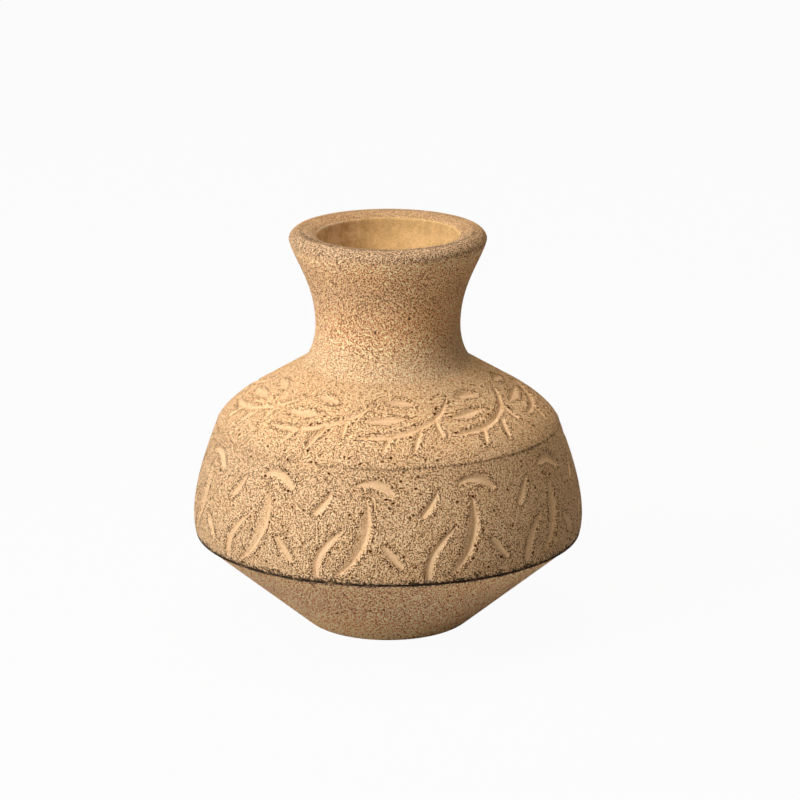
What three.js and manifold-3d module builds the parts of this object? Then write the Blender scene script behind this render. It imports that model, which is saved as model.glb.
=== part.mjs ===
// A small stoneware jar, built as a potter builds it: a lower bowl, a belly wall, a shoulder and a neck,
// made apart and luted together with slip. The two lutes that show are rings of their own.
// Bending plants are cut into the belly wall and the shoulder with a gouge.
// Millimetres, +Z up, origin at the middle of the flat base.
import * as THREE from 'three';
import { mergeVertices } from 'three/addons/utils/BufferGeometryUtils.js';
import Module from 'manifold-3d';

// Outside: radius and height of its named points
const BASE_EDGE = [14.6, 0];
const CONE_FOOT = [17.6, 1.3];
const LOWER_EDGE = [39.6, 19.6];
const SHOULDER_EDGE = [35.1, 42.3];
const SLOPE_TOP_OF_SHOULDER = [28.4, 48.5];
const NECK_CORNER = [17.6, 55.0];
const THROAT = [14.8, 62.9];
const LIP_SIDE = [20.1, 80.6];
const LIP_TOP = [18.4, 82.5];
const LIP_INNER = [14.4, 81.1];

// Inside: the same, from the floor up
const FLOOR = [8.0, 5.0];
const INNER_CONE_FOOT = [14.6, 6.4];
const INNER_LOWER_EDGE = [32.6, 20.6];
const INNER_BELLY = [35.2, 25.6];
const INNER_SHOULDER_EDGE = [30.5, 41.0];
const INNER_SLOPE_START = [26.0, 44.8];
const INNER_SLOPE_END = [15.2, 51.2];
const BORE_FOOT = [10.6, 59.0];
const BORE_TOP = [10.5, 64.0];

// Luted joints: a tongue on the lower section centres the upper one, the slip fills the outer part
const LUTE_THICKNESS = 0.5;
const LUTE_RECESS = 0.12;
const LOWER_TONGUE_RADIUS = 37.0;
const LOWER_TONGUE_RISE = 2.0;
const UPPER_TONGUE_RADIUS = 32.6;
const UPPER_TONGUE_RISE = 1.5;
const NECK_SEAT_DEPTH = 2.0;

const SEGMENTS_AROUND = 60;

// Carved strokes. A line has [degrees round the jar, millimetres up the wall from its lower edge, half width]
// at each point, and its ends are where the gouge leaves the clay. The floor of a cut is level where the tilt
// is 0. Above 0 it rises by that share towards the left of the direction of the stroke, below 0 to its right.
const BELLY_PLANTS = 11;
const BELLY_PLANT = {
  cap: {
    line: [[-10.4, 19.6, 0], [-5.6, 20.5, 0.75], [-0.6, 19.5, 0.85], [2.6, 17.7, 0]],
    depth: 0.45,
    tilt: 0.1,
  },
  crescent: {
    line: [[-6.9, 19.2, 0], [-6.1, 14.6, 1], [-6.9, 10.4, 1.65], [-9.6, 5.9, 1.3], [-16.2, 1.2, 0]],
    depth: 0.6,
    tilt: -0.25,
  },
  drop: {
    line: [[-16.6, 19.1, 0], [-19, 16.3, 0.8], [-21, 14.6, 0.85], [-22.6, 13.2, 0]],
    depth: 0.42,
    tilt: 0.1,
  },
  blade: {
    line: [[-11.8, 11.7, 0], [-17, 8.3, 0.85], [-20.3, 4.2, 1], [-20.6, 0.5, 0]],
    depth: 0.48,
    tilt: 0.1,
  },
  dash: { line: [[-2.4, 9.1, 0], [1.8, 6.2, 0.85], [5.9, 3.2, 0]], depth: 0.4, tilt: 0 },
};
// Sprays on the shoulder stand a few degrees closer together at the front than at the back
const SHOULDER_SPRAYS = 9;
const SPRAY_DRIFT = 2.3;
const SHOULDER_SPRAY = {
  stem: {
    line: [[-12, 6.8, 0], [-2, 7.1, 0.9], [12, 9.2, 0.85], [23, 12.2, 0.7], [31, 15.8, 0]],
    depth: 0.42,
    tilt: 0,
  },
  high_leaf: { line: [[-1.4, 16.5, 0], [6.8, 16.4, 1.1], [15, 15.4, 0]], depth: 0.42, tilt: 0 },
  low_leaf: { line: [[-10.6, 11.1, 0], [-0.6, 11.6, 1.1], [10, 12, 0]], depth: 0.44, tilt: 0 },
  first_twig: { line: [[1.2, 7.4, 0], [-0.6, 4.9, 0.7], [-2.4, 2.4, 0]], depth: 0.38, tilt: 0 },
  second_twig: { line: [[13.1, 8.7, 0], [10.9, 5.7, 0.75], [9, 2.7, 0]], depth: 0.4, tilt: 0 },
  third_twig: { line: [[20.8, 11.5, 0], [21, 8.7, 0.78], [21.2, 6, 0]], depth: 0.4, tilt: 0 },
};
const GOUGE_LIFT = 0.4;
const GOUGE_EXIT = 0.06;
const DEEPEST_SHARE = 0.65;

// A point moved by a distance along a direction given as a radius and a height
const away = ([r, z], [dr, dz], distance) => {
  const length = Math.hypot(dr, dz);
  return [r + (dr / length) * distance, z + (dz / length) * distance];
};
const direction = (from, to) => [to[0] - from[0], to[1] - from[1]];

const corner = (r, z) => new THREE.Vector2(r, z);

// One smooth stretch between two points, which leaves and arrives along given directions
function bend(from, leaving, reach, to, arriving, hold, steps) {
  const handles = [from, away(from, leaving, reach), away(to, arriving, -hold), to];
  return new THREE.CubicBezierCurve(...handles.map((p) => corner(...p))).getPoints(steps).slice(1);
}

// Outside curve from the base up and over the lip
function outsideCurve() {
  const cone = direction(CONE_FOOT, LOWER_EDGE);
  const slope = direction(SLOPE_TOP_OF_SHOULDER, NECK_CORNER);
  return [
    corner(...BASE_EDGE),
    ...bend(BASE_EDGE, [1, 0], 1.4, CONE_FOOT, cone, 1.2, 3),
    corner(...LOWER_EDGE),
    ...bend(LOWER_EDGE, [0.23, 1], 7.1, SHOULDER_EDGE, [-0.37, 1], 6.0, 6),
    ...bend(SHOULDER_EDGE, [-0.37, 1], 2.4, SLOPE_TOP_OF_SHOULDER, slope, 2.3, 3),
    corner(...NECK_CORNER),
    ...bend(NECK_CORNER, slope, 1.2, THROAT, [0, 1], 4.4, 4),
    ...bend(THROAT, [0, 1], 8.5, LIP_SIDE, [0.21, 1], 3.6, 6),
    ...bend(LIP_SIDE, [0.21, 1], 0.8, LIP_TOP, [-1, 0], 0.8, 3),
    ...bend(LIP_TOP, [-1, 0], 1.4, LIP_INNER, [0, -1], 0.9, 3),
  ];
}

// Inside curve from the floor up to the lip
function insideCurve() {
  const cone = direction(INNER_CONE_FOOT, INNER_LOWER_EDGE);
  const slope = direction(INNER_SLOPE_START, INNER_SLOPE_END);
  return [
    corner(...FLOOR),
    ...bend(FLOOR, [1, 0], 2.5, INNER_CONE_FOOT, cone, 2.5, 3),
    corner(...INNER_LOWER_EDGE),
    ...bend(INNER_LOWER_EDGE, cone, 2, INNER_BELLY, [0, 1], 2.4, 2),
    ...bend(INNER_BELLY, [0, 1], 6, INNER_SHOULDER_EDGE, [-0.45, 1], 4, 3),
    ...bend(INNER_SHOULDER_EDGE, [-0.45, 1], 2, INNER_SLOPE_START, slope, 2, 2),
    corner(...INNER_SLOPE_END),
    ...bend(INNER_SLOPE_END, slope, 3, BORE_FOOT, [0, 1], 3, 3),
    corner(...BORE_TOP),
    ...bend(BORE_TOP, [0, 1], 7, LIP_INNER, [0, 1], 6, 4),
  ];
}

// The stretch of a rising curve between two heights, with a point exactly on each
function between(curve, low, high) {
  const at = (height) => {
    const i = curve.findIndex((p, k) => k > 0 && p.y >= height && curve[k - 1].y <= height);
    const [a, b] = [curve[i - 1], curve[i]];
    return new THREE.Vector2(a.x + ((b.x - a.x) * (height - a.y)) / (b.y - a.y), height);
  };
  const inner = curve.filter((p) => p.y > low + 0.05 && p.y < high - 0.05);
  return [at(low), ...inner, at(high)];
}

const outside = outsideCurve();
const lipStart = outside.findIndex((p) => p.y === LIP_TOP[1]);
const rising = outside.slice(0, lipStart + 1);
const overLip = outside.slice(lipStart + 1, -1);
const inside = insideCurve();

const LOWER_JOINT_LOW = LOWER_EDGE[1] - LUTE_THICKNESS / 2;
const LOWER_JOINT_HIGH = LOWER_EDGE[1] + LUTE_THICKNESS / 2;
const LOWER_TONGUE_TOP = LOWER_JOINT_HIGH + LOWER_TONGUE_RISE;
const UPPER_JOINT_LOW = SHOULDER_EDGE[1] - LUTE_THICKNESS / 2;
const UPPER_JOINT_HIGH = SHOULDER_EDGE[1] + LUTE_THICKNESS / 2;
const UPPER_TONGUE_TOP = UPPER_JOINT_HIGH + UPPER_TONGUE_RISE;
const NECK_SEAT = NECK_CORNER[1] - NECK_SEAT_DEPTH;

const lowerBowlProfile = [
  corner(0, 0),
  ...between(rising, 0, LOWER_JOINT_LOW),
  corner(LOWER_TONGUE_RADIUS, LOWER_JOINT_LOW),
  corner(LOWER_TONGUE_RADIUS, LOWER_TONGUE_TOP),
  ...between(inside, FLOOR[1], LOWER_TONGUE_TOP).reverse(),
];

const bellyProfile = [
  corner(LOWER_TONGUE_RADIUS, LOWER_JOINT_HIGH),
  ...between(rising, LOWER_JOINT_HIGH, UPPER_JOINT_LOW),
  corner(UPPER_TONGUE_RADIUS, UPPER_JOINT_LOW),
  corner(UPPER_TONGUE_RADIUS, UPPER_TONGUE_TOP),
  ...between(inside, LOWER_TONGUE_TOP, UPPER_TONGUE_TOP).reverse(),
  corner(LOWER_TONGUE_RADIUS, LOWER_TONGUE_TOP),
];

const shoulderProfile = [
  corner(UPPER_TONGUE_RADIUS, UPPER_JOINT_HIGH),
  ...between(rising, UPPER_JOINT_HIGH, NECK_CORNER[1]),
  corner(NECK_CORNER[0], NECK_SEAT),
  ...between(inside, UPPER_TONGUE_TOP, NECK_SEAT).reverse(),
  corner(UPPER_TONGUE_RADIUS, UPPER_TONGUE_TOP),
];

const neckProfile = [
  corner(NECK_CORNER[0], NECK_SEAT),
  ...between(rising, NECK_CORNER[1], LIP_TOP[1]),
  ...overLip,
  ...between(inside, NECK_SEAT, LIP_INNER[1]).reverse(),
];

// A flat ring of slip between two sections
function luteProfile(inner, outer, low, high) {
  return [corner(inner, low), corner(outer, low), corner(outer, high), corner(inner, high)];
}

function turned(profile) {
  const onAxis = profile[0].x === 0;
  const points = onAxis ? [...profile, corner(0, profile.at(-1).y)] : [...profile, profile[0].clone()];
  return new THREE.LatheGeometry(points, SEGMENTS_AROUND).rotateX(Math.PI / 2);
}

// The point and the upward direction that a length up the outside from one of its edges comes to
function onWall(edge, climb) {
  let i = rising.findIndex((p) => p.y === edge[1]);
  let left = climb;
  while (left > rising[i].distanceTo(rising[i + 1])) {
    left -= rising[i].distanceTo(rising[i + 1]);
    i += 1;
  }
  const up = rising[i + 1].clone().sub(rising[i]).normalize();
  return { place: rising[i].clone().addScaledVector(up, left), up };
}

// A radius and a height turned to their place round the jar, with 0 degrees at the front
function roundTo(turn, flat) {
  return new THREE.Vector3(flat.x * Math.sin(turn), -flat.x * Math.cos(turn), flat.y);
}

// What the gouge sweeps along a stroke: a floor between walls at 45 degrees, to a point at each end off the clay
function gougeSweep({ line, depth, tilt }, edge, start) {
  const stations = line.map(([degrees, climb, half]) => {
    const { place, up } = onWall(edge, climb);
    const turn = THREE.MathUtils.degToRad(start + degrees);
    return { half, centre: roundTo(turn, place), outward: roundTo(turn, corner(up.y, -up.x)) };
  });
  const at = ({ centre, outward }, left, sideways, height) =>
    centre.clone().addScaledVector(left, sideways).addScaledVector(outward, height);
  const rings = stations.slice(1, -1).map((station, i) => {
    const ahead = stations[i + 2].centre.clone().sub(stations[i].centre);
    const left = station.outward.clone().cross(ahead).normalize();
    const { half } = station;
    const deep = Math.min(depth, half * DEEPEST_SHARE);
    const leftDeep = deep * (1 - Math.max(tilt, 0));
    const rightDeep = deep * (1 + Math.min(tilt, 0));
    return [
      at(station, left, half + GOUGE_LIFT, GOUGE_LIFT),
      at(station, left, half - leftDeep, -leftDeep),
      at(station, left, rightDeep - half, -rightDeep),
      at(station, left, -half - GOUGE_LIFT, GOUGE_LIFT),
    ];
  });
  const [entry, exit] = [stations[0], stations.at(-1)].map((end) => at(end, end.outward, 0, GOUGE_EXIT));
  const points = [entry, ...rings.flat(), exit];
  const sides = rings[0].length;
  const last = rings.length - 1;
  const vertex = (ring, side) => 1 + ring * sides + (side % sides);
  const faces = [];
  for (let side = 0; side < sides; side += 1) {
    faces.push(0, vertex(0, side), vertex(0, side + 1));
    for (let ring = 0; ring < last; ring += 1) {
      faces.push(vertex(ring, side + 1), vertex(ring, side), vertex(ring + 1, side));
      faces.push(vertex(ring, side + 1), vertex(ring + 1, side), vertex(ring + 1, side + 1));
    }
    faces.push(vertex(last, side + 1), vertex(last, side), points.length - 1);
  }
  return new THREE.BufferGeometry().setFromPoints(points).setIndex(faces);
}

const wasm = await Module();
wasm.setup();

function solid(geometry) {
  const bare = geometry.clone();
  bare.deleteAttribute('normal');
  bare.deleteAttribute('uv');
  const merged = mergeVertices(bare);
  return new wasm.Manifold(new wasm.Mesh({
    numProp: 3,
    vertProperties: merged.attributes.position.array,
    triVerts: Uint32Array.from(merged.index.array),
  }));
}

// A section with every stroke of its plants cut out of the outside
function carved(section, plant, edge, starts) {
  let wall = solid(section);
  for (const start of starts) {
    for (const stroke of Object.values(plant)) {
      wall = wall.subtract(solid(gougeSweep(stroke, edge, start)));
    }
  }
  const { vertProperties, triVerts } = wall.getMesh();
  const geometry = new THREE.BufferGeometry();
  geometry.setAttribute('position', new THREE.BufferAttribute(vertProperties, 3));
  geometry.setIndex(new THREE.BufferAttribute(triVerts, 1));
  geometry.computeVertexNormals();
  return geometry;
}

const evenTurns = (count) => Array.from({ length: count }, (_, i) => (i * 360) / count);
const plantTurns = evenTurns(BELLY_PLANTS);
const sprayTurns = evenTurns(SHOULDER_SPRAYS).map(
  (turn) => turn - SPRAY_DRIFT * Math.sin(THREE.MathUtils.degToRad(turn)));

function fired(name, geometry, colour) {
  const material = new THREE.MeshStandardMaterial({ color: colour, roughness: 0.85, metalness: 0 });
  const mesh = new THREE.Mesh(geometry, material);
  mesh.name = name;
  return mesh;
}

const bellyWall = carved(turned(bellyProfile), BELLY_PLANT, LOWER_EDGE, plantTurns);
const shoulder = carved(turned(shoulderProfile), SHOULDER_SPRAY, SHOULDER_EDGE, sprayTurns);

const jar = new THREE.Group();
jar.add(fired('lower_bowl', turned(lowerBowlProfile), 0x8f7152));
jar.add(fired('lower_lute', turned(luteProfile(
  LOWER_TONGUE_RADIUS, LOWER_EDGE[0] - LUTE_RECESS, LOWER_JOINT_LOW, LOWER_JOINT_HIGH)), 0x4b3a2c));
jar.add(fired('belly_wall', bellyWall, 0xb8966c));
jar.add(fired('shoulder_lute', turned(luteProfile(
  UPPER_TONGUE_RADIUS, SHOULDER_EDGE[0] - LUTE_RECESS, UPPER_JOINT_LOW, UPPER_JOINT_HIGH)), 0x6b5540));
jar.add(fired('shoulder', shoulder, 0xc0a077));
jar.add(fired('neck', turned(neckProfile), 0xa98a63));

export default jar;
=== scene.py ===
"""A small carved stoneware jar on a pale floor, seen a little from above.

The pot is turned, so each of its sections is a surface of revolution; the carved plants are grooves
pressed into that surface. Lengths of the pot are millimetres and become metres where a mesh is made.
"""
import math

import bmesh
import bpy
import numpy as np
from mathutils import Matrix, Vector


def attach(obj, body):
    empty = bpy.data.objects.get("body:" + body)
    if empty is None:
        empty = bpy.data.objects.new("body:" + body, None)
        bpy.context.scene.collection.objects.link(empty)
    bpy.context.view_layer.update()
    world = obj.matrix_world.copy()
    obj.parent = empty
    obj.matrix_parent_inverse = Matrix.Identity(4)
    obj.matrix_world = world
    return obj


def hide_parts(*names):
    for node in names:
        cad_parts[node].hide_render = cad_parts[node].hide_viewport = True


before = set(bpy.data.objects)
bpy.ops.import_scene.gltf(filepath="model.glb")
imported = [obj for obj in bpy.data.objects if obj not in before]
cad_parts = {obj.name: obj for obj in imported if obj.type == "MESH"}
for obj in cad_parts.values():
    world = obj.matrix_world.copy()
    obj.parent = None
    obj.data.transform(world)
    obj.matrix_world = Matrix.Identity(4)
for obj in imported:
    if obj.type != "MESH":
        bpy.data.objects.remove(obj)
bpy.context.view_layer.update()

MM = 0.001
CLOSE = 0.02  # millimetres; points of an outline this close to a cut are left out

# Outside of the pot: radius and height of its named points
BASE_EDGE = (14.6, 0.0)
CONE_FOOT = (17.6, 1.3)
LOWER_EDGE = (39.6, 19.6)
SHOULDER_EDGE = (35.1, 42.3)
SLOPE_TOP_OF_SHOULDER = (28.4, 48.5)
NECK_CORNER = (17.6, 55.0)
THROAT = (14.8, 62.9)
LIP_SIDE = (20.1, 80.6)
LIP_TOP = (18.4, 82.5)
LIP_INNER = (14.4, 81.1)

# Inside, from the floor up
FLOOR = (8.0, 5.0)
INNER_CONE_FOOT = (14.6, 6.4)
INNER_LOWER_EDGE = (32.6, 20.6)
INNER_BELLY = (35.2, 25.6)
INNER_SHOULDER_EDGE = (30.5, 41.0)
INNER_SLOPE_START = (26.0, 44.8)
INNER_SLOPE_END = (15.2, 51.2)
BORE_FOOT = (10.6, 59.0)
BORE_TOP = (10.5, 64.0)

# Luted joints: a ring of slip at the outside, over a tongue that the upper section sits on
LUTE_HALF = 0.25
LOWER_JOINT_LOW = LOWER_EDGE[1] - LUTE_HALF
LOWER_JOINT_HIGH = LOWER_EDGE[1] + LUTE_HALF
UPPER_JOINT_LOW = SHOULDER_EDGE[1] - LUTE_HALF
UPPER_JOINT_HIGH = SHOULDER_EDGE[1] + LUTE_HALF
LOWER_TONGUE_RADIUS = 37.0
LOWER_TONGUE_TOP = LOWER_JOINT_HIGH + 2.0
UPPER_TONGUE_RADIUS = 32.6
UPPER_TONGUE_TOP = UPPER_JOINT_HIGH + 1.5
NECK_SEAT = NECK_CORNER[1] - 2.0

# Surface: the skin stays this far inside the solid, so that nothing stands out of it
SKIN = 0.05
LOWER_LUTE_RECESS = 0.10
SHOULDER_LUTE_RECESS = SKIN
SHARP_EDGE = math.radians(60)

# Chips along a worn edge: their depth, the chance below which there is none, and the height they fade over
EDGE_CHIP = 0.22
CHIP_THRESHOLD = 0.35
CHIP_FADE = 0.35

# Turned pieces: points round the axis, and the degrees from the front of the pot, where the carving's angles
# start, to the x axis
BASE_COLUMNS = 720
CARVED_COLUMNS = 800
NECK_COLUMNS = 512
FRONT = 90.0

# Grooves: samples in each stretch of a stroke, power of the section, least share of the depth where a stroke
# is narrow, and the power by which its width counts
STROKE_SAMPLES = 9
GROOVE_POWER = 1.35
LEAST_DEPTH = 0.25
WIDTH_POWER = 0.6

# Beside the strokes: the clean floor ends at this many half widths and fades over so many, the sand that is
# left fades over so many, and the rough margin has its middle and its half width in millimetres
CLEAN_END = 1.1
CLEAN_FADE = 0.6
SANDY_FADE = 1.2
MARGIN_MIDDLE = 0.15
MARGIN_HALF = 0.75
STROKE_REACH = (4.5, 2.5)  # degrees and millimetres round a stroke that are looked at

# Carved belly plants: how many go round, and each stroke of one as (degrees, millimetres above the lower
# edge), with its half width at each point, its greatest depth, how far its deepest line leans to one side,
# and how much sand is left on the other side
BELLY_PLANTS = 11
BELLY_STROKES = {
    "cap": ([(-10.0, 19.8), (-6.9, 20.4), (-3.9, 20.4), (-1.0, 19.7), (1.6, 18.3)],
            [0.35, 0.85, 1.15, 1.20, 0.90], 0.50, 0.25, 0.0),
    "crescent": ([(-6.9, 18.2), (-6.1, 15.8), (-6.2, 13.8), (-6.6, 11.8), (-7.1, 10.1), (-8.0, 8.1),
                  (-9.4, 6.1), (-11.2, 4.2), (-13.2, 2.8), (-15.6, 1.4)],
                 [0.15, 0.65, 1.25, 1.70, 1.75, 1.60, 1.35, 1.05, 0.80, 0.20], 0.70, 0.35, 0.55),
    "drop": ([(-16.8, 18.8), (-18.3, 17.0), (-20.0, 15.4), (-21.8, 14.0)],
             [0.20, 0.75, 1.05, 0.90], 0.50, -0.25, 0.0),
    "blade": ([(-12.2, 11.4), (-15.0, 9.7), (-17.4, 8.0), (-19.3, 6.2), (-20.4, 4.3),
               (-20.8, 2.3), (-20.7, 0.9)],
              [0.20, 0.65, 0.95, 1.08, 1.12, 1.05, 0.80], 0.54, -0.25, 0.0),
    "dash": ([(-1.0, 7.8), (1.4, 6.0), (4.0, 3.8)],
             [0.70, 1.15, 0.65], 0.50, -0.15, 0.0),
}

# Carved shoulder sprays, in the same way: degrees and millimetres up the slope from the shoulder edge
SHOULDER_SPRAYS = 9
SPRAY_SHIFT = 2.3  # degrees by which the sprays at the sides are moved to the front
SHOULDER_STROKES = {
    "stem": ([(-11.2, 6.9), (-2.5, 7.1), (6.0, 8.0), (13.0, 9.4), (19.5, 11.1), (25.5, 13.2), (30.6, 15.7)],
             [0.40, 0.95, 1.00, 0.90, 0.80, 0.70, 0.35], 0.50, 0.0, 0.0),
    "high_leaf": ([(-0.6, 16.5), (6.5, 16.4), (14.4, 15.5)],
                  [0.35, 1.30, 0.25], 0.52, 0.2, 0.0),
    "low_leaf": ([(-9.8, 11.2), (-3.0, 11.5), (2.5, 11.8), (9.2, 12.0)],
                 [0.40, 1.25, 1.15, 0.25], 0.52, 0.2, 0.0),
    "twig_1": ([(1.0, 7.0), (-0.4, 5.2), (-1.8, 3.2)],
               [0.60, 0.75, 0.35], 0.44, 0.0, 0.0),
    "twig_2": ([(12.9, 8.2), (11.0, 6.0), (9.4, 3.4)],
               [0.65, 0.80, 0.35], 0.46, 0.0, 0.0),
    "twig_3": ([(20.8, 10.8), (21.0, 8.8), (21.2, 6.8)],
               [0.65, 0.82, 0.40], 0.46, 0.0, 0.0),
}


def unit(direction):
    """A direction as a vector of length one."""
    direction = np.asarray(direction, float)
    return direction / np.hypot(*direction)


def bend(start, leaving, reach, end, arriving, hold, steps):
    """Cubic curve from start to end: its handles lie reach along leaving and hold back along arriving."""
    p0, p3 = np.asarray(start, float), np.asarray(end, float)
    p1, p2 = p0 + unit(leaving) * reach, p3 - unit(arriving) * hold
    t = np.linspace(0, 1, steps + 1)[1:, None]
    return (1 - t) ** 3 * p0 + 3 * (1 - t) ** 2 * t * p1 + 3 * (1 - t) * t**2 * p2 + t**3 * p3


def straight(start, end, steps):
    """Equal steps along a line, without its first point."""
    t = np.linspace(0, 1, steps + 1)[1:, None]
    return np.asarray(start, float) * (1 - t) + np.asarray(end, float) * t


def toward(start, end):
    """The direction from one point to another."""
    return np.subtract(end, start)


def outside_curve():
    """Radius and height of the outside, from the edge of the base up to the top of the lip."""
    cone = toward(CONE_FOOT, LOWER_EDGE)
    slope = toward(SLOPE_TOP_OF_SHOULDER, NECK_CORNER)
    return np.vstack([
        [BASE_EDGE],
        bend(BASE_EDGE, (1, 0), 1.4, CONE_FOOT, cone, 1.2, 8),
        straight(CONE_FOOT, LOWER_EDGE, 46),
        bend(LOWER_EDGE, (0.23, 1), 7.1, SHOULDER_EDGE, (-0.37, 1), 6.0, 90),
        bend(SHOULDER_EDGE, (-0.37, 1), 2.4, SLOPE_TOP_OF_SHOULDER, slope, 2.3, 34),
        straight(SLOPE_TOP_OF_SHOULDER, NECK_CORNER, 44),
        bend(NECK_CORNER, slope, 1.2, THROAT, (0, 1), 4.4, 22),
        bend(THROAT, (0, 1), 8.5, LIP_SIDE, (0.21, 1), 3.6, 40),
        bend(LIP_SIDE, (0.21, 1), 0.8, LIP_TOP, (-1, 0), 0.8, 12),
    ])


def inside_curve():
    """Radius and height of the inside, from the flat of the floor up to the top of the lip."""
    cone = toward(INNER_CONE_FOOT, INNER_LOWER_EDGE)
    slope = toward(INNER_SLOPE_START, INNER_SLOPE_END)
    return np.vstack([
        [FLOOR],
        bend(FLOOR, (1, 0), 2.5, INNER_CONE_FOOT, cone, 2.5, 6),
        straight(INNER_CONE_FOOT, INNER_LOWER_EDGE, 8),
        bend(INNER_LOWER_EDGE, cone, 2, INNER_BELLY, (0, 1), 2.4, 6),
        bend(INNER_BELLY, (0, 1), 6, INNER_SHOULDER_EDGE, (-0.45, 1), 4, 8),
        bend(INNER_SHOULDER_EDGE, (-0.45, 1), 2, INNER_SLOPE_START, slope, 2, 5),
        straight(INNER_SLOPE_START, INNER_SLOPE_END, 6),
        bend(INNER_SLOPE_END, slope, 3, BORE_FOOT, (0, 1), 3, 8),
        straight(BORE_FOOT, BORE_TOP, 4),
        bend(BORE_TOP, (0, 1), 7, LIP_INNER, (0, 1), 6, 20),
        bend(LIP_INNER, (0, 1), 0.9, LIP_TOP, (1, 0), 1.4, 12),
    ])


outside = outside_curve()
inside = inside_curve()


def between(curve, low, high):
    """The stretch of a rising curve between two heights, with a point exactly on each."""
    heights = curve[:, 1]
    keep = curve[(heights > low + CLOSE) & (heights < high - CLOSE)]
    ends = [(np.interp(h, heights, curve[:, 0]), h) for h in (low, high)]
    return np.vstack([ends[:1], keep, ends[1:]])


def along(curve):
    """Length along a curve at each of its points."""
    return np.concatenate([[0], np.cumsum(np.hypot(*np.diff(curve, axis=0).T))])


def smooth_line(points, samples):
    """Catmull-Rom curve through rows of numbers, as equally many samples in each stretch."""
    points = np.asarray(points, float)
    p = np.vstack([2 * points[0] - points[1], points, 2 * points[-1] - points[-2]])
    t = np.linspace(0, 1, samples, endpoint=False)[:, None]
    stretches = [
        0.5 * (2 * b + (c - a) * t + (2 * a - 5 * b + 4 * c - d) * t**2 + (3 * b - a - 3 * c + d) * t**3)
        for a, b, c, d in zip(p[:-3], p[1:-2], p[2:-1], p[3:])]
    return np.vstack(stretches + [points[-1:]])


def beside(line, turn, climb, radius, mean_radius):
    """Where each point lies by a stroke: how many half widths off, on which side, and the half width there.

    The nearest sample of the centre line counts, and the side is the sign of the cross product of the line's
    course with the way from the sample to the point.
    """
    course = np.gradient(line[:, :2], axis=0) * (math.radians(1) * mean_radius, 1)
    across = np.radians(turn[:, None] - line[:, 0]) * radius[:, None]
    up = climb[:, None] - line[:, 1]
    share = np.hypot(across, up) / line[:, 2]
    best = share.argmin(1)
    which = np.arange(len(best)), best
    side = np.sign(course[best, 0] * up[which] - course[best, 1] * across[which])
    return share[which], side, line[best, 2]


def carve(turn, climb, radius, strokes, starts):
    """Depth, clean floor and rough margin of carved strokes over a surface.

    turn is the angle of each point in degrees, climb its way up the wall and radius its distance from the
    axis. A stroke is a centre line with a half width. At x half widths to one side of it the groove is
    depth * (1 - y) ** 1.35 deep, where y runs from 0 on the deepest line to 1 on either edge. The floor is
    clean, but for the sand left away from the deepest line, and the margin is the band just outside x = 1.
    """
    depth, clean, margin = (np.zeros_like(turn) for _ in range(3))
    for start in starts:
        local = (turn - start + 180) % 360 - 180
        for points, widths, deepest, lean, sandy in strokes.values():
            line = smooth_line(np.column_stack([points, widths]), STROKE_SAMPLES)
            low, high = line[:, :2].min(0) - STROKE_REACH, line[:, :2].max(0) + STROKE_REACH
            near = np.nonzero((local > low[0]) & (local < high[0]) & (climb > low[1]) & (climb < high[1]))
            share, side, width = beside(line, local[near], climb[near], radius[near], radius.mean())
            to_edge = 1 - lean * np.where(share * side > lean, 1, -1)
            from_deepest = np.abs(np.clip(share, 0, 1) * side - lean) / to_edge
            cut = deepest * np.clip(width / line[:, 2].max(), LEAST_DEPTH, 1) ** WIDTH_POWER
            groove = np.where(share < 1, cut * (1 - np.clip(from_deepest, 0, 1)) ** GROOVE_POWER, 0)
            sand_left = sandy * np.clip((lean - share * side) / SANDY_FADE, 0, 1)
            swept = np.clip((CLEAN_END - share) / CLEAN_FADE, 0, 1) * (1 - sand_left)
            gap = (share - 1.0) * width
            rough = np.clip(1.0 - np.abs(gap - MARGIN_MIDDLE) / MARGIN_HALF, 0, 1)
            for total, part in ((depth, groove), (clean, swept), (margin, rough)):
                total[near] = np.maximum(total[near], part)
    return depth, clean, margin


def add(name, data):
    """An object in the scene."""
    made = bpy.data.objects.new(name, data)
    bpy.context.scene.collection.objects.link(made)
    return made


def put_mesh(name, vertices, faces, shades):
    """A smooth-shaded mesh object at the origin, from arrays in metres, with its named point values."""
    mesh = bpy.data.meshes.new(name)
    mesh.from_pydata(vertices.tolist(), [], faces)
    mesh.polygons.foreach_set("use_smooth", [True] * len(mesh.polygons))
    for key, values in shades.items():
        layer = mesh.attributes.new(key, "FLOAT", "POINT")
        layer.data.foreach_set("value", values.astype(np.float32).ravel())
    mesh.update()
    mesh.set_sharp_from_angle(angle=SHARP_EDGE)
    return add(name, mesh)


def chips(columns, way, seed):
    """Wear of a joint's edge: a random depth round it, which fades up the wall with exp(-way / 0.35 mm)."""
    chance = np.random.default_rng(seed).random(columns)
    smooth = (np.roll(chance, 1) + 2 * chance + np.roll(chance, -1)) / 4
    return EDGE_CHIP * np.clip(smooth - CHIP_THRESHOLD, 0, 1) * 2 * np.exp(-way[:, None] / CHIP_FADE)


def wall_normals(heights):
    """The outside's normal at each height, across and up."""
    slope = np.gradient(outside, axis=0)
    length = np.hypot(*slope.T)
    normal = slope[:, 1] / length, -slope[:, 0] / length
    return np.column_stack([np.interp(heights, outside[:, 1], part) for part in normal])


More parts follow.
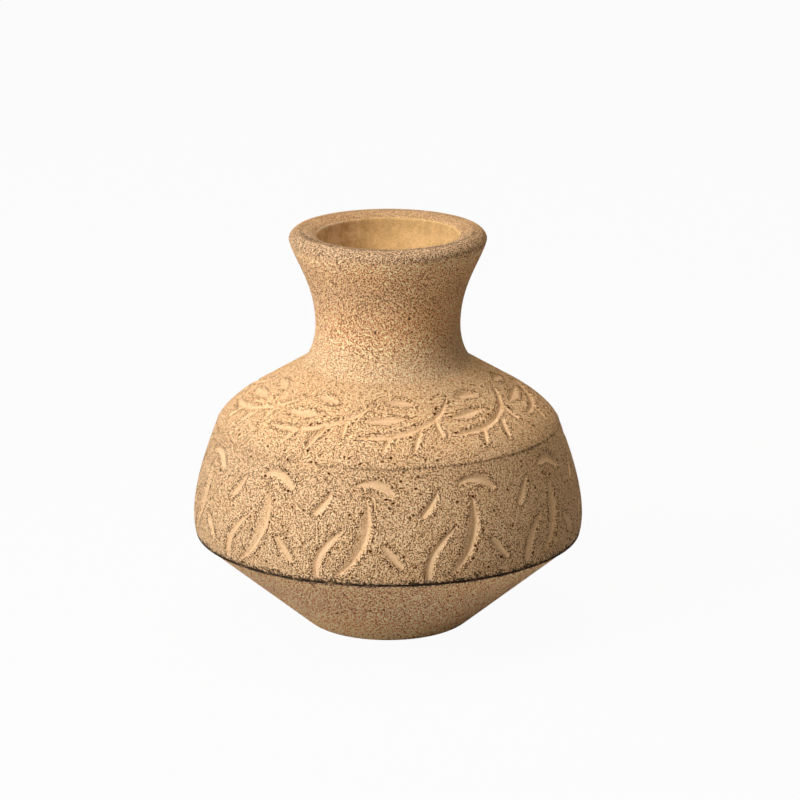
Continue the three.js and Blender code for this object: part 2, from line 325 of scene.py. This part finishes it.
def ring_faces(radii):
    """Faces of a closed outline carried once round the axis, from the radius at each point of its grid.

    A quad joins each two rows and columns. A row on the axis is a pole, where triangles meet in one point.
    """
    rows, columns = radii.shape
    grid = np.arange(rows * columns).reshape(rows, columns)
    upper = np.roll(grid, -1, axis=0)
    quads = np.stack([grid, np.roll(grid, -1, axis=1), np.roll(upper, -1, axis=1), upper], axis=-1)
    on_axis = radii[:, 0] == 0
    faces = quads[~(on_axis | np.roll(on_axis, -1))].reshape(-1, 4).tolist()
    for row in np.nonzero(on_axis)[0]:
        pole = np.full(columns, grid[row, 0])
        for neighbour, way in ((row - 1, 1), (row + 1, -1)):
            edge = grid[neighbour % rows]
            if not on_axis[neighbour % rows]:
                faces += np.stack([edge, np.roll(edge, -1), pole][::way], axis=-1).tolist()
    return faces


def drop_loose_points(mesh):
    """Takes out the points that no face uses, which are the spare copies of a pole."""
    work = bmesh.new()
    work.from_mesh(mesh)
    bmesh.ops.delete(work, geom=[v for v in work.verts if not v.link_faces], context="VERTS")
    work.to_mesh(mesh)
    work.free()
    mesh.update()


def turned(name, outer, rest, columns, strokes=None, starts=(), foot=0.0, worn=()):
    """A turned piece: its outer wall and the rest of its closed outline, carried once round the axis.

    outer runs up the outside and rest comes back down the inside to the first point; both are rows of radius
    and height. Each point of the grid is (r cos a, r sin a, h), moved in along the wall's normal by the skin
    and by the depth of the carving, and more on the worn edges. The carving's heights count up the wall from
    foot below its first point.
    """
    angle = np.linspace(0, 2 * np.pi, columns, endpoint=False)
    turn, climb = np.meshgrid(np.degrees(angle) + FRONT, along(outer) + foot)
    radius = np.repeat(outer[:, :1], columns, axis=1)
    depth, clean, margin = carve(turn, climb, radius, strokes, starts)
    push = depth + SKIN
    for edge_height, seed in worn:
        push = push + chips(columns, np.abs(outer[:, 1] - edge_height), seed)
    normal = wall_normals(outer[:, 1])
    r = np.vstack([outer[:, :1] - push * normal[:, :1], np.repeat(rest[:, :1], columns, axis=1)])
    h = np.vstack([outer[:, 1:] - push * normal[:, 1:], np.repeat(rest[:, 1:], columns, axis=1)])
    vertices = np.stack([r * np.cos(angle), r * np.sin(angle), h], axis=-1).reshape(-1, 3)
    uncarved = np.zeros((len(rest), columns))
    shades = {"clean": np.vstack([clean, uncarved]), "margin": np.vstack([margin, uncarved]),
              "inside": np.vstack([np.zeros_like(turn), uncarved + 1])}
    piece = put_mesh(name, vertices * MM, ring_faces(r), shades)
    if not r.all():
        drop_loose_points(piece.data)
    return piece


class Value:
    """One output of a shader node, which takes part in Python's arithmetic by adding Math nodes."""

    def __init__(self, recipe, socket):
        self.recipe = recipe
        self.socket = socket

    def maths(self, operation, *terms):
        """A Math node on values or numbers."""
        return self.recipe.node("ShaderNodeMath", {"operation": operation}, dict(enumerate(terms)))

    def __add__(self, other):
        return self.maths("ADD", self, other)

    def __radd__(self, other):
        return self.maths("ADD", other, self)

    def __sub__(self, other):
        return self.maths("SUBTRACT", self, other)

    def __rsub__(self, other):
        return self.maths("SUBTRACT", other, self)

    def __mul__(self, other):
        return self.maths("MULTIPLY", self, other)

    def __rmul__(self, other):
        return self.maths("MULTIPLY", other, self)

    def __truediv__(self, other):
        return self.maths("DIVIDE", self, other)

    def __pow__(self, other):
        return self.maths("POWER", self, other)

    def size(self):
        return self.maths("ABSOLUTE", self)

    def most(self, other):
        return self.maths("MAXIMUM", self, other)

    def least(self, other):
        return self.maths("MINIMUM", self, other)

    def step(self, low, high):
        """0 below low and 1 above high, softly between; the other way round where low is the higher."""
        return self.recipe.node("ShaderNodeMapRange", {"interpolation_type": "SMOOTHSTEP"},
                                {"Value": self, "From Min": low, "From Max": high})


class Recipe:
    """The node tree of a material or of the world, with one method that adds any node."""

    def __init__(self, owner):
        owner.use_nodes = True
        self.owner = owner
        self.tree = owner.node_tree
        self.tree.nodes.clear()

    def node(self, kind, settings=None, inputs=None, output=0):
        """Adds a node, applies its settings, then fills its sockets with values or links."""
        made = self.tree.nodes.new(kind)
        for key, value in (settings or {}).items():
            if key == "stops":
                self.put_stops(made.color_ramp, value)
            else:
                setattr(made, key, value)
        for key, value in (inputs or {}).items():
            if isinstance(value, Value):
                self.tree.links.new(value.socket, made.inputs[key])
            else:
                made.inputs[key].default_value = value
        return Value(self, made.outputs[output])

    def put_stops(self, ramp, stops):
        """Fills a colour ramp with (place, colour) pairs."""
        while len(ramp.elements) < len(stops):
            ramp.elements.new(0.5)
        for element, (place, colour) in zip(ramp.elements, stops):
            element.position = place
            element.color = (*colour, 1)

    def millimetres(self):
        """The place on the object, in millimetres."""
        place = self.node("ShaderNodeTexCoord", None, None, "Object")
        return self.node("ShaderNodeVectorMath", {"operation": "SCALE"}, {0: place, "Scale": 1 / MM})

    def painted(self, key):
        """A value that the mesh keeps at its points."""
        return self.node("ShaderNodeAttribute", {"attribute_name": key}, None, "Fac")

    def mix(self, share, first, second):
        """Colour between two colours."""
        colours = [(*c, 1) if isinstance(c, tuple) else c for c in (first, second)]
        return self.node("ShaderNodeMix", {"data_type": "RGBA"}, {0: share, 6: colours[0], 7: colours[1]}, 2)

    def noise(self, where, scale, detail=2.0, roughness=0.5):
        """Soft random values, about scale of them in each unit of length."""
        return self.node("ShaderNodeTexNoise", None,
                         {"Vector": where, "Scale": scale, "Detail": detail, "Roughness": roughness})

    def cells(self, where, scale, output=0, scatter=1.0):
        """Distance to the nearest of strewn points, about scale of them in each unit of length."""
        return self.node("ShaderNodeTexVoronoi", None,
                         {"Vector": where, "Scale": scale, "Randomness": scatter}, output)

    def seen(self):
        """1 for rays from the camera, straight, mirrored or through glass, and 0 for all others."""
        straight_on, mirrored, through = (
            self.node("ShaderNodeLightPath", None, None, f"Is {way} Ray")
            for way in ("Camera", "Glossy", "Transmission"))
        return straight_on.most(mirrored).most(through)

    def fired(self, colour, roughness, height, depth):
        """Closes the tree with the one shader of all that is fired; its relief is depth metres high."""
        bump = self.node("ShaderNodeBump", None, {"Height": height, "Strength": 1.0, "Distance": depth})
        self.close(self.node("ShaderNodeBsdfPrincipled", None, {
            "Base Color": colour, "Roughness": roughness, "Normal": bump, "Specular IOR Level": CLAY_GLOSS}))
        return self.owner

    def close(self, shader, kind="ShaderNodeOutputMaterial"):
        """Leads a shader to the tree's output."""
        self.tree.links.new(shader.socket, self.tree.nodes.new(kind).inputs["Surface"])


# Fired clay by height in millimetres: lower cone, belly, shoulder, foot of the neck, throat, lip. The stops
# are partly painted light, set to how bright each height looks: the foot of the cone is paler where the floor
# lights it, and the top of the flare under the lip paler where light from the front reaches it
CLAY_AND_LIGHT_BY_HEIGHT = [
    (0.0, (1.0, 0.650, 0.278)),
    (4.0, (0.98, 0.570, 0.246)),
    (12.0, (0.81, 0.466, 0.208)),
    (18.5, (0.86, 0.500, 0.220)),
    (20.5, (0.83, 0.508, 0.243)),
    (43.0, (0.81, 0.492, 0.233)),
    (50.0, (0.96, 0.585, 0.268)),
    (56.5, (0.91, 0.585, 0.290)),
    (59.3, (0.93, 0.585, 0.280)),
    (61.0, (0.93, 0.556, 0.252)),
    (63.0, (0.90, 0.503, 0.211)),
    (66.5, (0.855, 0.470, 0.195)),
    (72.0, (0.73, 0.414, 0.178)),
    (77.0, (0.80, 0.452, 0.193)),
    (79.3, (0.96, 0.565, 0.248)),
    (81.0, (0.60, 0.350, 0.160)),
    (82.0, (0.54, 0.320, 0.150)),
]
RAMP_TOP = 90.0  # height at the ramp's end
PALE_DRIFT = (0.84, 0.60, 0.36)
# clay bared by the carving, paler than the rest, and made paler still as a painted highlight on the strokes
CLEAN_CLAY_AND_HIGHLIGHT = (0.93, 0.620, 0.340)
INSIDE_CLAY = (0.80, 0.520, 0.220)
INSIDE_DARKER = (0.62, 0.390, 0.165)
# painted light: a paler colour for the left of the lining, which the lamps leave in shade
INSIDE_PAINTED_LIGHT = (0.96, 0.770, 0.540)
IRON = (0.025, 0.014, 0.008)
# slip at the lower joint, its dark partly painted shade of the undercut there
LOWER_STAIN_AND_SHADE = (0.060, 0.034, 0.018)
SHOULDER_STAIN = (0.095, 0.057, 0.032)
# painted shade: a ragged dark ring round the top of the lip, weaker on its wiped back
RIM_PAINTED_SHADE = (0.20, 0.115, 0.062)
# the slip ring's dark is partly painted shade of its recess
SLIP_DARK_AND_SHADE = (0.050, 0.032, 0.020)
SLIP_BUFF = (0.42, 0.26, 0.13)

# How many of each in a millimetre: slow drifts, patches and mottles of colour, dark lumps, iron spots, rags
# of the stains and of the painted shade at the lower joint and round the lip, grit and bare stretches of the
# slip; and how much finer than the specks the fine and the finest sand are
DRIFTS = 0.09
PATCHES = 0.30
MOTTLES = 0.9
LUMPS = 0.6
SPOTS = 0.22
RAGS = 2.3
GRITS = 2.4
STRETCHES = 0.35
FINE = 1.35
FINEST = 1.8

# Where a pattern's values turn into pits, from none to full: specks, how much wider they get on a margin,
# fine sand, lumps, and the patches rich in lumps
SPECK_SCATTER = 0.9
SPECK_EDGES = (0.43, 0.17)
MARGIN_WIDENING = 0.045
FINE_EDGES = (0.46, 0.28)
LUMP_EDGES = (0.20, 0.13)
RICH_PATCHES = (0.44, 0.54)

# Grain: depth of each kind of pit, swing of the finest sand, growth of the pits on the margins of the
# strokes, contrast where the clay is smooth, and how much of the surface the specks take
SPECK_DEPTH = 1.35
FINE_DEPTH = 0.5
LUMP_DEPTH = 0.9
SAND_SWING = 1.5
MARGIN_GROWTH = 0.9
PATCH_GROWTH = 2.0
CLEAN_CONTRAST = 0.20
SPECK_SHARE = 0.355
DARKEST = 0.06  # least brightness of a grain

# Powers of a grain's brightness in red, green and blue, where it is darker than the clay and where paler
DARK_POWERS = (0.76, 1.27, 2.50)
PALE_POWERS = (0.86, 1.03, 1.30)

# Surface: relief in metres, gloss, roughness of the sand and how much less of it smooth clay has
RELIEF = 0.00027
SLIP_RELIEF = 0.0003
CLAY_GLOSS = 0.08
SANDY_ROUGHNESS = 0.92
SMOOTHED = 0.17

# Smooth places, in millimetres: the foot of the neck, the top of the lining, its left side, which is painted
# paler as painted light on a wall that the lamps leave in shade, and the wiped back of the lip, by height and
# from front to back
SMOOTH_FOOT = NECK_CORNER[1] + 1.5
SMOOTH_FOOT_REACH = (6.5, 1.5)
SMOOTH_FOOT_SHARE = 0.45
LINING_TOP = (LIP_INNER[1] + 0.9, LIP_INNER[1] + 0.1)
PAINTED_LIGHT_SIDE = (-3.0, -13.0)
WIPED_HEIGHTS = (79.8, 81.4)
WIPED_BACK = (-6.0, 6.0)

# Iron spots: radius and softness in cells, and the share of the cells, softly cut, that go without one
SPOT_RADIUS = 0.065
SPOT_EDGE = 0.015
SPOT_LUCK = (0.45, 0.50)

# Stains and painted shade: the noise has to pass a line's level, which rises by its fall with each millimetre
# from the line; the shoulder's line fades to the left, between two places. The lower line is slip and, in
# part, painted shade of the undercut at that joint; the line round the rim is painted shade
LOWER_STAIN_AND_SHADE_HEIGHT = LOWER_EDGE[1] + 0.1
LOWER_STAIN_AND_SHADE_LEVEL, LOWER_STAIN_AND_SHADE_FALL = 1.3, 1.0
SHOULDER_STAIN_LEVEL, SHOULDER_STAIN_FALL = 1.85, 1.7
SHOULDER_STAIN_FADE = (-20.0, 14.0)
RIM_PAINTED_SHADE_LEVEL, RIM_PAINTED_SHADE_FALL = 1.2, 1.1
RIM_PAINTED_SHADE_HEIGHTS = (81.0, 82.0)
RIM_RADIUS = 17.6

# Slip: the level of its noise below which it gives way to the clay, and how softly
SLIP_LEVEL = 0.55
SLIP_SOFTNESS = 0.12


class Clay(Recipe):
    """Sandy unglazed clay, as the patterns that its colour and relief are made of."""

    def __init__(self, name, grains_per_mm, lumps):
        super().__init__(bpy.data.materials.new(name))
        mm = self.mm = self.millimetres()
        self.x, self.y, self.height = (
            self.node("ShaderNodeSeparateXYZ", None, {0: mm}, axis) for axis in "XYZ")
        self.clean, self.margin, self.inside = (self.painted(key) for key in ("clean", "margin", "inside"))
        self.drift = self.noise(mm, DRIFTS, 3.0, 0.6)
        self.patch = self.noise(mm, PATCHES)
        self.mottle = self.noise(mm, MOTTLES, 2.0, 0.6)
        self.sand = self.noise(mm, grains_per_mm * FINEST, 0.0)
        self.pit = self.pits(grains_per_mm, lumps)
        self.find_smooth_places()

    def pits(self, grains_per_mm, lumps):
        """Dark specks over a finer dark grain, with larger lumps in the patches that are rich in them; the
        darkness is partly painted shade of the pits.
        """
        nearest = self.cells(self.mm, grains_per_mm, scatter=SPECK_SCATTER)
        specks = (nearest - self.margin * MARGIN_WIDENING).step(*SPECK_EDGES)
        fine = self.noise(self.mm, grains_per_mm * FINE, 0.0).step(*FINE_EDGES)
        large = self.cells(self.mm, LUMPS).step(*LUMP_EDGES) * self.patch.step(*RICH_PATCHES) * lumps
        return specks * SPECK_DEPTH + fine * FINE_DEPTH + large * LUMP_DEPTH

    def find_smooth_places(self):
        """The lining, the wiped back of the lip, all that is bare of sand, and the neck's less sandy foot."""
        lining = self.inside * self.height.step(*LINING_TOP)
        self.is_inside = (lining + (self.mottle - 0.5) * 0.5).step(0.35, 0.65)
        self.wiped = (self.y.step(*WIPED_BACK) * self.height.step(*WIPED_HEIGHTS)
                      * (1 - self.inside * 0.2))
        self.bare = self.clean.most(self.is_inside).most(self.wiped * 0.9)
        self.sandy = 1 - (self.height - SMOOTH_FOOT).size().step(*SMOOTH_FOOT_REACH) * SMOOTH_FOOT_SHARE

    def plain_colour(self):
        """Colour by height, partly painted light, and in slow drifts; another in the strokes, partly a
        painted highlight; and a blotched one for the lining, paler on its left as painted light.
        """
        stops = [(height / RAMP_TOP, colour) for height, colour in CLAY_AND_LIGHT_BY_HEIGHT]
        # colour by height: the clay's own colour, with painted light on the foot of the cone and the flare
        # under the lip
        clay_and_light_by_height = self.node("ShaderNodeValToRGB", {"stops": stops}, {0: self.height / RAMP_TOP})
        clay = self.mix((self.drift - 0.35) * 0.5, clay_and_light_by_height, PALE_DRIFT)
        # the strokes' clean clay: paler bared clay, partly a painted highlight
        clean_and_highlit = self.mix(self.clean, clay, CLEAN_CLAY_AND_HIGHLIGHT)
        # the lining turns paler to the left as painted light on its shaded wall
        lining = self.mix(self.x.step(*PAINTED_LIGHT_SIDE) * 0.8, INSIDE_CLAY, INSIDE_PAINTED_LIGHT)
        blotches = (self.mottle * 0.6 + self.patch * 0.6 - 0.50) * 3.4
        return self.mix(self.is_inside, clean_and_highlit, self.mix(blotches, lining, INSIDE_DARKER))

    def grained(self, colour, contrast):
        """Sand over a colour: each channel is multiplied by its own powers of the grain's brightness.

        A dark grain is redder than the clay and a light one paler, so the powers differ on either side of 1.
        The dark side is partly painted shade of the sand's relief.
        """
        strength = (contrast - (contrast - CLEAN_CONTRAST) * self.bare) * self.sandy
        growth = 1 + self.margin * (self.patch * PATCH_GROWTH + MARGIN_GROWTH)
        # the pits darken the colour: real dark specks and, in part, painted shade of the sand's relief
        light = SPECK_SHARE + (self.sand - 0.5) * SAND_SWING - self.pit * growth
        brightness = (1 + light * strength).most(DARKEST)
        shade, glow = brightness.least(1.0), brightness.most(1.0)
        tint = self.node("ShaderNodeCombineXYZ", None, {
            i: shade ** dark * glow ** pale for i, (dark, pale) in enumerate(zip(DARK_POWERS, PALE_POWERS))})
        return self.node("ShaderNodeVectorMath", {"operation": "MULTIPLY"}, {0: colour, 1: tint})

    def spotted(self, colour):
        """Iron spots over a colour: a few small black ones, thinly strewn."""
        near = self.cells(self.mm, SPOTS)
        luck = self.node("ShaderNodeSeparateColor", None, {0: self.cells(self.mm, SPOTS, 1)}, 1)
        spots = (SPOT_RADIUS - near).step(-SPOT_EDGE, SPOT_EDGE) * luck.step(*SPOT_LUCK)
        return self.mix(spots * 0.85, colour, IRON)

    def stained_and_shaded(self, colour):
        """Slip from the two joints, the lower line partly painted shade, and painted shade round the top of
        the lip, in ragged lines over a colour.
        """
        ragged = self.noise(self.mm, RAGS, 1.0, 0.6) * 4.2 + self.pit * 0.7 + (self.patch - 0.5) * 1.6
        outer = 1 - self.is_inside
        from_lower = (self.height - LOWER_STAIN_AND_SHADE_HEIGHT).size()
        # the lower line: slip from the joint and, in part, painted shade of the undercut below the belly's
        # edge
        lower = (ragged - LOWER_STAIN_AND_SHADE_LEVEL - from_lower * LOWER_STAIN_AND_SHADE_FALL).step(0.0, 0.7) * outer
        from_shoulder = (self.height - SHOULDER_EDGE[1]).size()
        upper = (ragged - SHOULDER_STAIN_LEVEL - from_shoulder * SHOULDER_STAIN_FALL).step(0.0, 0.7) * outer
        shown = self.x.step(*SHOULDER_STAIN_FADE) * 0.8 + 0.2
        # painted shade in a ragged ring round the top of the lip, weaker on the wiped back
        from_rim = ((self.x * self.x + self.y * self.y) ** 0.5 - RIM_RADIUS).size()
        rim_shade = ((ragged - RIM_PAINTED_SHADE_LEVEL - from_rim * RIM_PAINTED_SHADE_FALL).step(0.0, 1.2)
               * self.height.step(*RIM_PAINTED_SHADE_HEIGHTS) * (1 - self.wiped * 0.8))
        for share, stain in ((lower * 0.9, LOWER_STAIN_AND_SHADE), (upper * shown * 0.85, SHOULDER_STAIN),
                             (rim_shade * 0.7, RIM_PAINTED_SHADE)):
            colour = self.mix(share, colour, stain)
        return colour


def stoneware(name, grains_per_mm, contrast, lumps=1.0):
    """Buff sandy clay with dark specks in its pits, clean strokes, a smooth lining and joints dark with slip;
    the pits, the lower joint and the top of the lip also carry painted shade.
    """
    clay = Clay(name, grains_per_mm, lumps)
    colour = clay.stained_and_shaded(clay.spotted(clay.grained(clay.plain_colour(), contrast)))
    relief = (clay.sand * 0.6 - clay.pit) * (1 - clay.bare) * clay.sandy + clay.mottle * clay.bare * 0.10
    return clay.fired(colour, SANDY_ROUGHNESS - clay.bare * SMOOTHED, relief, RELIEF)


def slip(name):
    """Fired slip in a joint: dark and ragged, the dark partly painted shade of its recess, broken by
    stretches where the clay shows.
    """
    m = Recipe(bpy.data.materials.new(name))
    mm = m.millimetres()
    grit = m.noise(mm, GRITS, 1.0, 0.7)
    stretch = m.noise(mm, STRETCHES)
    dark = (grit * 0.6 + stretch * 0.8).step(SLIP_LEVEL - SLIP_SOFTNESS, SLIP_LEVEL + SLIP_SOFTNESS)
    gritty = m.mix((grit - 0.3) * 0.5, m.mix(dark, SLIP_BUFF, SLIP_DARK_AND_SHADE), IRON)
    return m.fired(gritty, 0.95 - grit * 0.1, grit, SLIP_RELIEF)


def down(curve, low, high):
    """A stretch of the inside, from its top to its bottom."""
    return between(curve, low, high)[::-1]


def lower_bowl():
    """Base and cone: from the axis out along the base, up the cone, over the joint and down the inside."""
    wall = between(outside, 0, LOWER_JOINT_LOW)
    rest = np.vstack([
        [(LOWER_TONGUE_RADIUS, LOWER_JOINT_LOW), (LOWER_TONGUE_RADIUS, LOWER_TONGUE_TOP)],
        down(inside, FLOOR[1], LOWER_TONGUE_TOP),
        [(FLOOR[0] / 2, FLOOR[1]), (0, FLOOR[1]), (0, 0)],
        straight((0, 0), BASE_EDGE, 12)[:-1]])
    return turned("stoneware_lower_bowl", wall, rest, BASE_COLUMNS, worn=[(LOWER_JOINT_LOW, 3)])


def belly_wall():
    """Upright wall with the carved plants."""
    wall = between(outside, LOWER_JOINT_HIGH, UPPER_JOINT_LOW)
    rest = np.vstack([
        [(UPPER_TONGUE_RADIUS, UPPER_JOINT_LOW), (UPPER_TONGUE_RADIUS, UPPER_TONGUE_TOP)],
        down(inside, LOWER_TONGUE_TOP, UPPER_TONGUE_TOP),
        [(LOWER_TONGUE_RADIUS, LOWER_TONGUE_TOP), (LOWER_TONGUE_RADIUS, LOWER_JOINT_HIGH)]])
    starts = np.arange(BELLY_PLANTS) * 360 / BELLY_PLANTS
    return turned("stoneware_belly_wall", wall, rest, CARVED_COLUMNS, BELLY_STROKES, starts, LUTE_HALF,
                  [(LOWER_JOINT_HIGH, 5)])


def spray_places():
    """Angles of the shoulder sprays: spaced a little closer together at the front than behind."""
    even = np.arange(SHOULDER_SPRAYS) * 360 / SHOULDER_SPRAYS
    return even - SPRAY_SHIFT * np.sin(np.radians(even))


def shoulder():
    """Sloping shoulder with the carved sprays."""
    wall = between(outside, UPPER_JOINT_HIGH, NECK_CORNER[1])
    rest = np.vstack([
        [(NECK_CORNER[0], NECK_SEAT)],
        down(inside, UPPER_TONGUE_TOP, NECK_SEAT),
        [(UPPER_TONGUE_RADIUS, UPPER_TONGUE_TOP), (UPPER_TONGUE_RADIUS, UPPER_JOINT_HIGH)]])
    return turned("stoneware_shoulder", wall, rest, CARVED_COLUMNS, SHOULDER_STROKES, spray_places(),
                  LUTE_HALF)


def neck():
    """Foot, throat, flare and rounded lip in one."""
    wall = between(outside, NECK_CORNER[1], LIP_TOP[1])
    rest = np.vstack([down(inside, NECK_SEAT, LIP_TOP[1])[1:], [(NECK_CORNER[0], NECK_SEAT)]])
    return turned("stoneware_neck", wall, rest, NECK_COLUMNS)


def lute(name, inner, outer, low, high):
    """Ring of slip between two sections."""
    wall = np.array([(outer, low), (outer, (low + high) / 2), (outer, high)], float)
    rest = np.array([(inner, high), (inner, low)], float)
    return turned(name, wall, rest, BASE_COLUMNS)


# Each node's piece, its slot in the record and its finish: specks in a millimetre, contrast, share of lumps
pieces = {
    "lower_bowl": (lower_bowl(), "stoneware_lower", stoneware("stoneware_lower", 2.8, 3.0)),
    "belly_wall": (belly_wall(), "stoneware_belly", stoneware("stoneware_belly", 3.3, 1.32)),
    "shoulder": (shoulder(), "stoneware_shoulder", stoneware("stoneware_shoulder", 3.3, 1.38)),
    "neck": (neck(), "stoneware_neck", stoneware("stoneware_neck", 3.4, 2.2, 0.35)),
    "lower_lute": (
        lute("slip_lower_edge", LOWER_TONGUE_RADIUS, LOWER_EDGE[0] - LOWER_LUTE_RECESS,
             LOWER_JOINT_LOW, LOWER_JOINT_HIGH),
        "slip_lower", slip("slip_lower")),
    "shoulder_lute": (
        lute("slip_shoulder_edge", UPPER_TONGUE_RADIUS, SHOULDER_EDGE[0] - SHOULDER_LUTE_RECESS,
             UPPER_JOINT_LOW, UPPER_JOINT_HIGH),
        "slip_shoulder", stoneware("slip_shoulder", 3.3, 1.35)),
}
for node, (piece, slot, material) in pieces.items():
    piece.data.materials.append(material)
    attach(piece, "root")
    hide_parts(node)

# Floor and surroundings: how much of them is plain white to the camera, the rest of the floor showing the
# shadow, and how bright the surroundings are for the pot
FLOOR_HALF = 3.0
FLOOR_COLOUR = (0.44, 0.43, 0.42, 1)
FLOOR_WHITE = 0.955
WHITE = (1, 1, 1, 1)
AMBIENT = 0.02

# Lamps, all turned to the middle of the pot: place and width in metres, power in watts, colour
LAMP_AIM = (0, 0, 0.045)
LAMPS = {
    "key_left": ((-0.61, -0.45, 0.60), 0.5, 7.8, (0.98, 1.0, 1.08)),
    "fill_front": ((0.0, -0.90, 0.20), 0.5, 0.60, (1.0, 0.88, 0.76)),
    "fill_top": ((0.0, 0.1, 0.9), 0.6, 4.3, (1.0, 0.90, 0.80)),
}

# Camera, from the outline of the pot in the picture: metres, and millimetres for the lens
CAMERA_DISTANCE = 0.8785
CAMERA_RISE = math.radians(15.667)
CAMERA_AIM = (0.00245, 0.0, 0.04664)
CAMERA_LENS = 193.32
CAMERA_SENSOR = 36.0


def pale_floor():
    """A wide pale floor that is nearly white to the camera and keeps the shadow."""
    mesh = bpy.data.meshes.new("pale_floor")
    corners = [(x * FLOOR_HALF, y * FLOOR_HALF, 0) for x, y in ((-1, -1), (1, -1), (1, 1), (-1, 1))]
    mesh.from_pydata(corners, [], [(0, 1, 2, 3)])
    m = Recipe(bpy.data.materials.new("pale_floor"))
    matt = m.node("ShaderNodeBsdfDiffuse", None, {"Color": FLOOR_COLOUR})
    glow = m.node("ShaderNodeEmission", None, {"Color": WHITE, "Strength": 1.0})
    m.close(m.node("ShaderNodeMixShader", None, {0: m.seen() * FLOOR_WHITE, 1: matt, 2: glow}))
    mesh.materials.append(m.owner)
    add("pale_floor", mesh)


def surroundings():
    """A world that is dim for the pot and white to the camera."""
    world = bpy.data.worlds.new("studio")
    bpy.context.scene.world = world
    m = Recipe(world)
    strength = m.seen() * (1 - AMBIENT) + AMBIENT
    m.close(m.node("ShaderNodeBackground", None, {"Color": WHITE, "Strength": strength}),
            "ShaderNodeOutputWorld")


def lamps():
    """A large key lamp from the upper left, one over the pot and a weak one in front."""
    for name, (place, width, power, colour) in LAMPS.items():
        data = bpy.data.lights.new(name, "AREA")
        data.shape = "RECTANGLE"
        data.size = data.size_y = width
        data.energy = power
        data.color = colour
        lamp = add(name, data)
        lamp.location = place
        lamp.rotation_euler = (Vector(LAMP_AIM) - Vector(place)).to_track_quat("-Z", "Y").to_euler()


def camera():
    """A long lens a little above the lip, level with the picture's frame."""
    data = bpy.data.cameras.new("camera")
    data.sensor_width = CAMERA_SENSOR
    data.lens = CAMERA_LENS
    data.clip_start = 0.01
    eye = add("camera", data)
    x, y, z = CAMERA_AIM
    back, rise = CAMERA_DISTANCE * math.cos(CAMERA_RISE), CAMERA_DISTANCE * math.sin(CAMERA_RISE)
    eye.location = (x, y - back, z + rise)
    eye.rotation_euler = (math.pi / 2 - CAMERA_RISE, 0, 0)
    bpy.context.scene.camera = eye


pale_floor()
surroundings()
lamps()
camera()
bpy.context.scene.view_settings.view_transform = "Standard"
